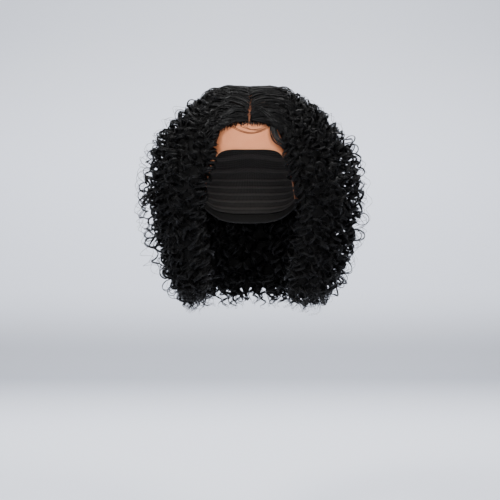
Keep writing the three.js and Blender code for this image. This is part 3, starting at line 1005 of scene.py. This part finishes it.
def makeHairline(rng):
    v = hairlineValues
    hairline = Bundle()
    spikes = []
    for place in np.linspace(*v["spikeSpan"], v["spikes"]):
        spikes += spike(place + rng.uniform(-0.0008, 0.0008), rng)
    hairTubes(hairline, *together([hairlineHair(rng) for _ in range(v["strands"])]), v["strandWidth"], rng)
    hairTubes(hairline, *together(spikes), v["spikeWidth"], rng, 0.6)
    hairTubes(hairline, *together([babyHair(rng) for _ in range(v["fuzz"])]), v["fuzzWidth"], rng, 0.7)
    hairTubes(hairline, *together([archedHair(*row) for row in arches]), v["archWidth"], rng, 0.25)
    for half, points in templeLocks:
        lock = [templeLock(half, points, k, rng) for k in range(v["lockStrands"])]
        width = v["lockWidth"] if half > 0.002 else v["thinLockWidth"]
        hairTubes(hairline, *together(lock), width, rng, 0.2)
    print("hairline", hairline.triangles())
    hairline.piece("hairline", hairFinish)


looseRng = np.random.default_rng(looseValues["seed"])
makeFlyaways(looseRng)
makeHairline(looseRng)


# Cloth: rows of points between two edge curves, laid on the head


def clothGrid(edgeA, edgeB, rows, lift):
    share = np.linspace(0, 1, rows)[:, None, None]
    straight = edgeA[None] * (1 - share) + edgeB[None] * share
    return onHead(straight, lift)


def resampled(points, count):
    steps = np.linalg.norm(np.diff(points, axis=0), axis=1)
    along = np.concatenate(([0], np.cumsum(steps)))
    at = np.linspace(0, along[-1], count)
    return np.stack([np.interp(at, along, points[:, i]) for i in range(3)], axis=1)


clothValues = {
    "seamTopY": 0.024,
    "earTopZ": -0.104,
    "earFrontY": -0.022,
    "earBackY": 0.038,
    "tabZ": -0.137,
    "napeY": 0.075,
    "napeZ": -0.152,
    "laceZ": -0.077,
    "laceHalf": 0.042,
    "tabHalf": 0.057,
    "columns": 84,
    "rows": 34,
    "bandRows": 7,
    "seamPoints": 40,
    "edgePoints": 48,
    "napePoints": 60,
    "netRun": 0.34,  # length across, which sets how wide the holes of the net are
    "laceHole": 0.0011,
    "capHole": 0.0018,
    "wefts": 15,
    "ribs": 190,
    "bandTop": 0.0003,
    "bandFoot": 0.0143,
    "bandTrim": 14,  # points left off at each end of the band
}
# Lift off the head and thickness
clothHeights = {"lace": (0.0005, 0.0008), "cap": (0.0006, 0.001), "band": (0.0009, 0.0016)}


def headSide(y, z, side):
    wide, front, back = headReach(np.asarray(z, dtype=float))
    reach = np.where(np.asarray(y) < 0, front, back)
    x = wide * np.sqrt(np.maximum(1 - (np.asarray(y) / reach) ** 2, 0))
    return np.stack((side * x, np.asarray(y, dtype=float), np.asarray(z, dtype=float)), axis=-1)


def headFront(x, z):
    wide, front, _ = headReach(np.asarray(z, dtype=float))
    y = -front * np.sqrt(np.maximum(1 - (np.asarray(x) / wide) ** 2, 0))
    return np.stack((np.asarray(x, dtype=float), y, np.asarray(z, dtype=float)), axis=-1)


def seamCurve(shift=0.0):
    c = clothValues
    shoulder = 0.65 * c["seamTopY"] + 0.35 * c["earFrontY"]
    y = np.array((c["earFrontY"] - 0.018, c["earFrontY"], shoulder, c["seamTopY"]))
    z = np.array((c["tabZ"], c["earTopZ"], c["earTopZ"] * 0.48, -0.0025))
    t = np.linspace(0, 3, c["seamPoints"])
    ys = hermite(t, np.arange(4.0), y + shift)
    zs = hermite(t, np.arange(4.0), z)
    left = headSide(ys, zs, -1)
    right = headSide(ys, zs, 1)[::-1]
    return np.concatenate((left[:-1], onHead(np.array([[0.0, c["seamTopY"] + shift, 0.0]])), right[1:]))


def laceEdge():
    c = clothValues
    z = np.array((c["tabZ"], -0.112, c["laceZ"] - 0.012, c["laceZ"] - 0.001, c["laceZ"]))
    tab, lace = c["tabHalf"], c["laceHalf"]
    x = np.array((tab, lace + 0.7 * (tab - lace), lace + 0.002, lace * 0.75, 0.0))
    t = np.linspace(0, 4, c["edgePoints"])
    xs = hermite(t, np.arange(5.0), x)
    zs = hermite(t, np.arange(5.0), z)
    left = headFront(-xs, zs)
    right = headFront(xs, zs)[::-1]
    return np.concatenate((left, right[1:]))


def clothPiece(name, edgeA, edgeB, rows, heights, material, nodes):
    columns = clothValues["columns"]
    lift, thickness = heights
    grid = clothGrid(resampled(edgeA, columns), resampled(edgeB, columns), rows, lift)
    v, u = np.meshgrid(np.linspace(0, 1, rows), np.linspace(0, 1, columns), indexing="ij")
    steps = np.linalg.norm(np.diff(grid, axis=0), axis=-1).sum(axis=0)
    marks = np.stack((u, v, np.broadcast_to(steps[None], u.shape)), axis=-1)
    piece = makePiece(
        name,
        grid.reshape(-1, 3),
        gridFaces(rows, columns),
        material,
        nodes,
        attributes={"cloth": marks.reshape(-1, 3)},
    )
    solid = piece.modifiers.new("thickness", "SOLIDIFY")
    solid.thickness = thickness
    solid.offset = 0
    return piece


def hexNet(wire, x, y, spacing):
    k = 4 * math.pi / (math.sqrt(3) * spacing)
    lean = y * (math.sqrt(3) / 2)
    waves = [(x * k), ((x * -0.5 + lean) * k), ((x * -0.5 - lean) * k)]
    total = sum((wire.math("COSINE", wave) for wave in waves[1:]), wire.math("COSINE", waves[0]))
    return 1 - total.between(-0.6, 0.6)


laceMaterial, wire = newMaterial("lace")
point = wire.place()
x, _, z = point.split()
u, v, span = wire.attribute("cloth").split()
net = hexNet(wire, u * clothValues["netRun"], v * span, clothValues["laceHole"])
cloud = wire.noise(point, 60.0, 2.0)
fray = wire.noise(point, 900.0, 2.0) * 0.0016
farX = wire.math("ABSOLUTE", x)
line = -0.0428 - (farX - 0.016).between(0.0, 0.018) * 0.003 - (farX - 0.034).between(0.0, 0.009) * 0.0225
aboveLine = (z - line + fray).between(-0.0005, 0.002)
offParting = (farX - fray * 0.8).between(0.0016, 0.0028)
outward = farX + fray * 2 - (0 - z - 0.05).between(0.0, 0.02) * 0.01
beside = outward.between(0.04, 0.044) * (z + 0.125).between(0, 0.03)
rooted = wire.math("MAXIMUM", aboveLine * offParting, beside * 0.9)
edgeGlow = 1 - (v * span - 0.0009).between(0.0, 0.0008)
laceShade = (cloud * 0.5 + edgeGlow * 0.6).clamped()
leftSide = 1 - x.between(-0.002, 0.002)
# Painted shade on the lace at the temples, beside and under the side hair, below the hairline's corners; it
# reaches further in on the left
templeShade = (outward - leftSide * 0.007).between(0.031, 0.039) * (0 - z - 0.05).between(0.0, 0.008)
clear = laceShade.mixed((0.68, 0.214, 0.084, 1), (0.88, 0.37, 0.174, 1))
bare = (templeShade * 0.8).mixed(clear, (0.16, 0.07, 0.045, 1))
# Partly painted shade in the parting between the two sides of combed hair, partly the darker knots along it
bare = (aboveLine * (1 - offParting) * 0.62).mixed(bare, (0.1, 0.045, 0.03, 1))
belowLine = (z - line + fray * 2 + 0.003).between(0.0, 0.0052)
bare = (belowLine * offParting * 0.4).mixed(bare, (0.2, 0.085, 0.055, 1))
finishMaterial(
    wire,
    Base_Color=(rooted * 0.97).mixed(bare, (0.022, 0.009, 0.006, 1)),
    Roughness=0.75,
    Alpha=(net * 0.12 + 0.88).clamped(),
    Normal=wire.bump(net, 0.3, 0.0002),
)

netMaterial, wire = newMaterial("net")
u, v, span = wire.attribute("cloth").split()
netting = hexNet(wire, u * clothValues["netRun"], v * span, clothValues["capHole"])
wefts = ((v * clothValues["wefts"] * 2 * math.pi).sine() * 0.5 + 0.5).between(0.55, 0.95)
finishMaterial(
    wire,
    Base_Color=(netting * 0.6 + wefts * 0.4).clamped().mixed((0.012, 0.011, 0.01, 1), (0.09, 0.08, 0.072, 1)),
    Roughness=0.8,
    Normal=wire.bump(netting * 0.3 + wefts, 0.6, 0.001),
)

rows, heights = clothValues["rows"], clothHeights["lace"]
seam = seamCurve()
lacePanel = clothPiece("lace_panel", laceEdge(), seam, rows, heights, laceMaterial, ["lace_front"])


def napeCurve(drop=0.0):
    c = clothValues
    behind = 0.65 * c["earBackY"] + 0.35 * headSize["back"]
    y = np.array((c["earFrontY"], c["earBackY"] - 0.014, c["earBackY"], behind, c["napeY"]))
    ear, nape = c["earTopZ"], c["napeZ"]
    z = np.array((ear, ear - 0.003, 0.55 * ear + 0.45 * nape, nape + 0.006, nape))
    t = np.linspace(0, 4, c["napePoints"])
    ys = hermite(t, np.arange(5.0), y)
    zs = hermite(t, np.arange(5.0), z) - drop
    _, _, back = headReach(zs)
    ys = np.minimum(ys, back * 0.999)
    left = headSide(ys, zs, -1)
    right = headSide(ys, zs, 1)[::-1]
    return np.concatenate((left, right[1:]))


def capSeam():
    full = seamCurve(0.0005)
    keep = full[:, 2] > clothValues["earTopZ"]
    return full[keep]


cap = clothPiece("cap", capSeam(), napeCurve(), rows, clothHeights["cap"], netMaterial, ["cap_net"])

bandMaterial, wire = newMaterial("band")
u, _, _ = wire.attribute("cloth").split()
ribs = (u * clothValues["ribs"] * 2 * math.pi).sine() * 0.5 + 0.5
finishMaterial(
    wire,
    Base_Color=ribs.mixed((0.006, 0.0055, 0.005, 1), (0.022, 0.02, 0.018, 1)),
    Roughness=0.7,
    Normal=wire.bump(ribs, 0.5, 0.0005),
)
trim = clothValues["bandTrim"]
bandTop = napeCurve(clothValues["bandTop"])[trim:-trim]
bandFoot = napeCurve(clothValues["bandFoot"])[trim:-trim]
rows, heights = clothValues["bandRows"], clothHeights["band"]
band = clothPiece("band", bandTop, bandFoot, rows, heights, bandMaterial, ["nape_band"])
print("cloth made")


# Floor and backdrop

stageValues = {
    "floorZ": -0.6,
    "nearY": -2.2,
    "wallY": 2.4,
    "topZ": 3.0,
    "bend": 0.25,
    "bendSteps": 12,
    "half": 4.0,
    "pale": (0.86, 0.893, 0.985, 1),
    "dim": (0.44, 0.46, 0.512, 1),
}


def drawnOut(sheet, edge, way):
    made = bmesh.ops.extrude_edge_only(sheet, edges=[edge])["geom"]
    ends = [part for part in made if isinstance(part, bmesh.types.BMVert)]
    bmesh.ops.translate(sheet, verts=ends, vec=way)
    return sheet.edges.get(ends)


# A floor that bends up into a wall
def makeStage():
    s = stageValues
    corner = s["wallY"] - s["bend"]
    sheet = bmesh.new()
    near = [sheet.verts.new((x, s["nearY"], s["floorZ"])) for x in (s["half"], -s["half"])]
    edge = drawnOut(sheet, sheet.edges.new(near), (0, corner - s["nearY"], 0))
    bent = bmesh.ops.spin(
        sheet,
        geom=[*edge.verts, edge],
        cent=(0, corner, s["floorZ"] + s["bend"]),
        axis=(1, 0, 0),
        angle=math.pi / 2,
        steps=s["bendSteps"],
    )["geom_last"]
    edge = next(part for part in bent if isinstance(part, bmesh.types.BMEdge))
    drawnOut(sheet, edge, (0, 0, s["topZ"] - s["floorZ"] - s["bend"]))
    for face in sheet.faces:
        face.smooth = True
    mesh = bpy.data.meshes.new("backdrop")
    sheet.to_mesh(mesh)
    sheet.free()
    material, wire = newMaterial("backdrop")
    _, y, z = wire.place().split()
    # Painted shade: the backdrop is darker in the bend where the floor meets the wall and darker towards the
    # top of the wall
    low = (1 - z.between(-0.54, -0.32)) * y.between(1.0, 2.4)
    high = z.between(-0.02, 0.68) * 0.84
    shade = (low + high).clamped()
    finishMaterial(wire, Base_Color=shade.mixed(s["pale"], s["dim"]), Roughness=0.9)
    mesh.materials.append(material)
    stage = bpy.data.objects.new("backdrop", mesh)
    bpy.context.scene.collection.objects.link(stage)


makeStage()

# Light

worldValues = {"Color": (0.9, 0.93, 1, 1), "Strength": 0.36}
# Each light: name, power, size, place, aim
lightRows = (
    ("key", 30, 0.5, (-0.9, -1.3, 1.3), (0, 0, -0.08)),
    ("fill", 20, 0.6, (1.1, -1.2, 1.1), (0, 0, -0.08)),
    ("front", 12, 0.6, (0.1, -1.9, 0.35), (0, 0, -0.1)),
    ("top", 3, 0.5, (0.0, 0.1, 1.3), (0, 0, -0.05)),
    ("wall", 84, 1.2, (0, 0.7, 1.7), (0, 2.4, -0.15)),
)


def aimed(place, aim):
    return (Vector(aim) - Vector(place)).to_track_quat("-Z", "Y").to_euler()


for name, power, size, place, aim in lightRows:
    data = bpy.data.lights.new(name, "AREA")
    data.energy = power
    data.size = size
    light = bpy.data.objects.new(name, data)
    light.location = place
    light.rotation_euler = aimed(place, aim)
    bpy.context.scene.collection.objects.link(light)

world = bpy.data.worlds.new("world")
world.use_nodes = True
for name, value in worldValues.items():
    world.node_tree.nodes["Background"].inputs[name].default_value = value
bpy.context.scene.world = world
print("stage and light set")
